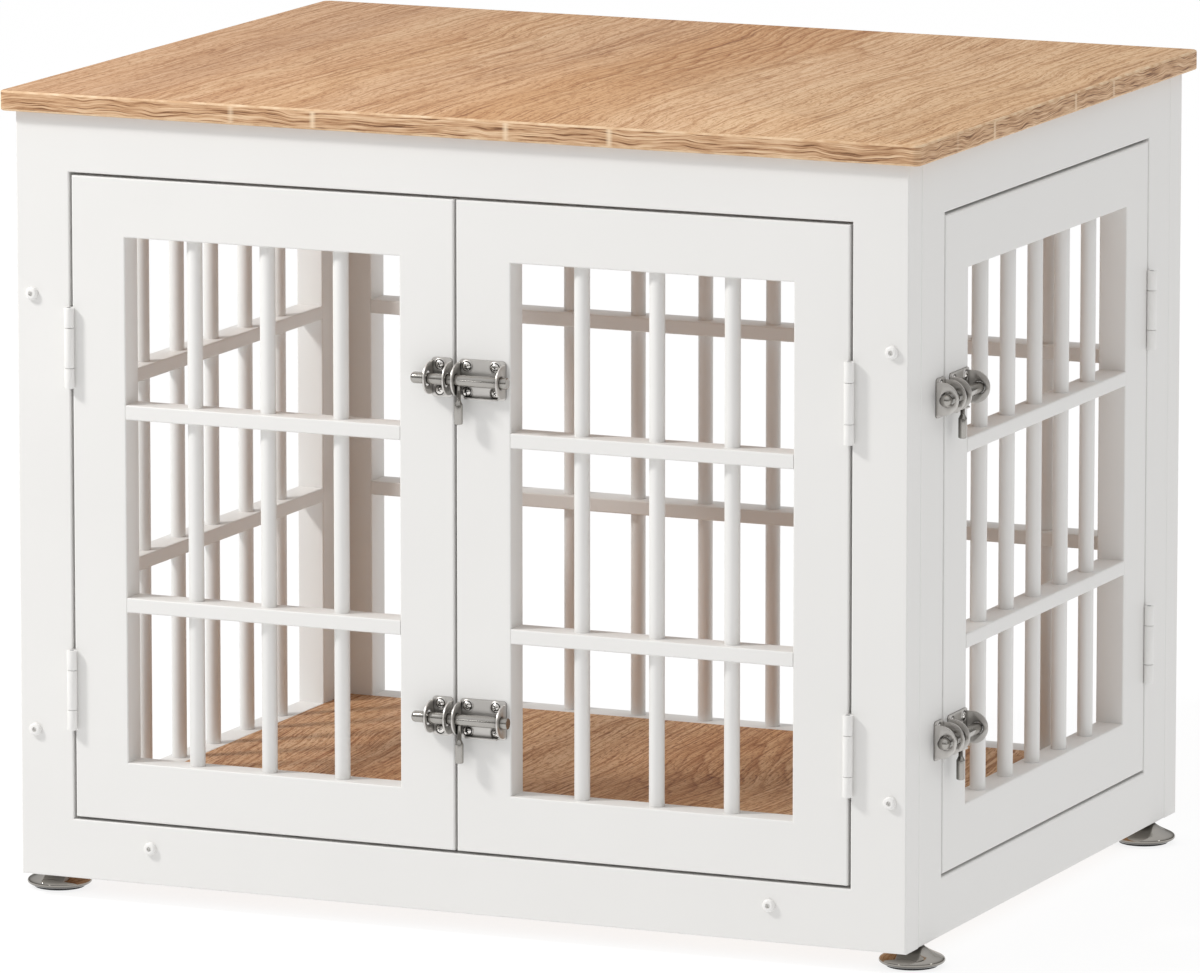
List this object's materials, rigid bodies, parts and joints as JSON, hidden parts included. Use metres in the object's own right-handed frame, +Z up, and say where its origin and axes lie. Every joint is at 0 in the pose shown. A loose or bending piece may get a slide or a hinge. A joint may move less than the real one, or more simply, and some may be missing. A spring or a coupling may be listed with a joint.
{
  "type": "dog crate end table",
  "caption": "Wooden dog crate that serves as an end table: barred panels, double doors in front, a side door, sliding barrel bolts, a flat top and levelling feet.",
  "frame": {"origin": "on the floor, under the middle of the carcass", "axes": "+X to the right seen from the front, towards the side door; -Y out of the double doors; +Z up"},
  "size_m": [0.7377, 0.577, 0.6033],
  "materials": {
    "white_paint": "satin white lacquer on fibreboard and hardwood bars",
    "oak_laminate": "matt oak-print laminate on particle board",
    "beech": "bare beech",
    "white_metal": "white powder coat on steel",
    "chrome": "bright chrome plate on steel",
    "polished_metal": "polished nickel plate on steel",
    "zinc_steel": "zinc-plated steel",
    "black_plastic": "black moulded plastic"
  },
  "bodies": {
    "carcass": {"tabletop": "oak_laminate", "tabletop_dowels": "beech", "front_frame": "white_paint", "right_side_frame": "white_paint", "left_side_frame": "white_paint", "back_frame": "white_paint", "floor_board": "oak_laminate", "left_side_rails": "white_paint", "left_side_bars": "white_paint", "back_rails": "white_paint", "back_bars": "white_paint", "front_frame_bolts": "white_metal", "back_frame_bolts": "white_metal", "barrel_nuts": "zinc_steel", "foot_inserts": "zinc_steel", "front_left_hinge_frame_leaves": "white_metal", "front_right_hinge_frame_leaves": "white_metal", "side_hinge_frame_leaves": "white_metal", "hinge_pins": "zinc_steel", "hinge_frame_screws": "white_metal", "side_keepers": "chrome", "side_keeper_screws": "chrome"},
    "front_left_door": {"front_left_door_frame": "white_paint", "front_left_door_rails": "white_paint", "front_left_door_bars": "white_paint", "front_left_hinge_door_leaves": "white_metal", "front_left_hinge_door_screws": "white_metal", "front_keepers": "chrome", "front_keeper_screws": "chrome"},
    "front_right_door": {"front_right_door_frame": "white_paint", "front_right_door_rails": "white_paint", "front_right_door_bars": "white_paint", "front_right_hinge_door_leaves": "white_metal", "front_right_hinge_door_screws": "white_metal", "front_latch_plates": "chrome", "front_latch_screws": "chrome"},
    "side_door": {"side_door_frame": "white_paint", "side_door_rails": "white_paint", "side_door_bars": "white_paint", "side_hinge_door_leaves": "white_metal", "side_hinge_door_screws": "white_metal", "side_latch_plates": "chrome", "side_latch_screws": "chrome"},
    "front_upper_rod": {"front_upper_latch_rod": "chrome"},
    "front_upper_handle": {"front_upper_latch_handle": "chrome"},
    "side_upper_rod": {"side_upper_latch_rod": "chrome"},
    "side_upper_handle": {"side_upper_latch_handle": "chrome"},
    "front_lower_rod": {"front_lower_latch_rod": "chrome"},
    "front_lower_handle": {"front_lower_latch_handle": "chrome"},
    "side_lower_rod": {"side_lower_latch_rod": "chrome"},
    "side_lower_handle": {"side_lower_latch_handle": "chrome"},
    "front_left_foot_unit": {"front_left_foot": "polished_metal", "front_left_foot_pad": "black_plastic"},
    "front_right_foot_unit": {"front_right_foot": "polished_metal", "front_right_foot_pad": "black_plastic"},
    "back_left_foot_unit": {"back_left_foot": "polished_metal", "back_left_foot_pad": "black_plastic"},
    "back_right_foot_unit": {"back_right_foot": "polished_metal", "back_right_foot_pad": "black_plastic"}
  },
  "joints": [
    {"name": "front_left_door_hinge", "type": "hinge", "parent": "carcass", "child": "front_left_door", "pos_m": [-0.3094, -0.2793, 0.2867], "axis": [0, 0, -1], "range_deg": [0, 110]},
    {"name": "front_right_door_hinge", "type": "hinge", "parent": "carcass", "child": "front_right_door", "pos_m": [0.3094, -0.2793, 0.2867], "axis": [0, 0, 1], "range_deg": [0, 110]},
    {"name": "side_door_hinge", "type": "hinge", "parent": "carcass", "child": "side_door", "pos_m": [0.3568, 0.2059, 0.2867], "axis": [0, 0, 1], "range_deg": [0, 110]},
    {"name": "front_upper_rod_slide", "type": "slide", "parent": "front_right_door", "child": "front_upper_rod", "axis": [1, 0, 0], "range_m": [0, 0.03]},
    {"name": "front_upper_handle_swing", "type": "hinge", "parent": "front_upper_rod", "child": "front_upper_handle", "pos_m": [0.0072, -0.2855, 0.4124], "axis": [-1, 0, 0], "range_deg": [0, 110]},
    {"name": "side_upper_rod_slide", "type": "slide", "parent": "side_door", "child": "side_upper_rod", "axis": [0, 1, 0], "range_m": [0, 0.03]},
    {"name": "side_upper_handle_swing", "type": "hinge", "parent": "side_upper_rod", "child": "side_upper_handle", "pos_m": [0.363, -0.1947, 0.4124], "axis": [0, -1, 0], "range_deg": [0, 110]},
    {"name": "front_lower_rod_slide", "type": "slide", "parent": "front_right_door", "child": "front_lower_rod", "axis": [1, 0, 0], "range_m": [0, 0.03]},
    {"name": "front_lower_handle_swing", "type": "hinge", "parent": "front_lower_rod", "child": "front_lower_handle", "pos_m": [0.0072, -0.2855, 0.1625], "axis": [-1, 0, 0], "range_deg": [0, 110]},
    {"name": "side_lower_rod_slide", "type": "slide", "parent": "side_door", "child": "side_lower_rod", "axis": [0, 1, 0], "range_m": [0, 0.03]},
    {"name": "side_lower_handle_swing", "type": "hinge", "parent": "side_lower_rod", "child": "side_lower_handle", "pos_m": [0.363, -0.1947, 0.1625], "axis": [0, -1, 0], "range_deg": [0, 110]},
    {"name": "front_left_foot_level", "type": "slide", "parent": "carcass", "child": "front_left_foot_unit", "axis": [0, 0, -1], "range_m": [0, 0.008]},
    {"name": "front_right_foot_level", "type": "slide", "parent": "carcass", "child": "front_right_foot_unit", "axis": [0, 0, -1], "range_m": [0, 0.008]},
    {"name": "back_left_foot_level", "type": "slide", "parent": "carcass", "child": "back_left_foot_unit", "axis": [0, 0, -1], "range_m": [0, 0.008]},
    {"name": "back_right_foot_level", "type": "slide", "parent": "carcass", "child": "back_right_foot_unit", "axis": [0, 0, -1], "range_m": [0, 0.008]}
  ]
}
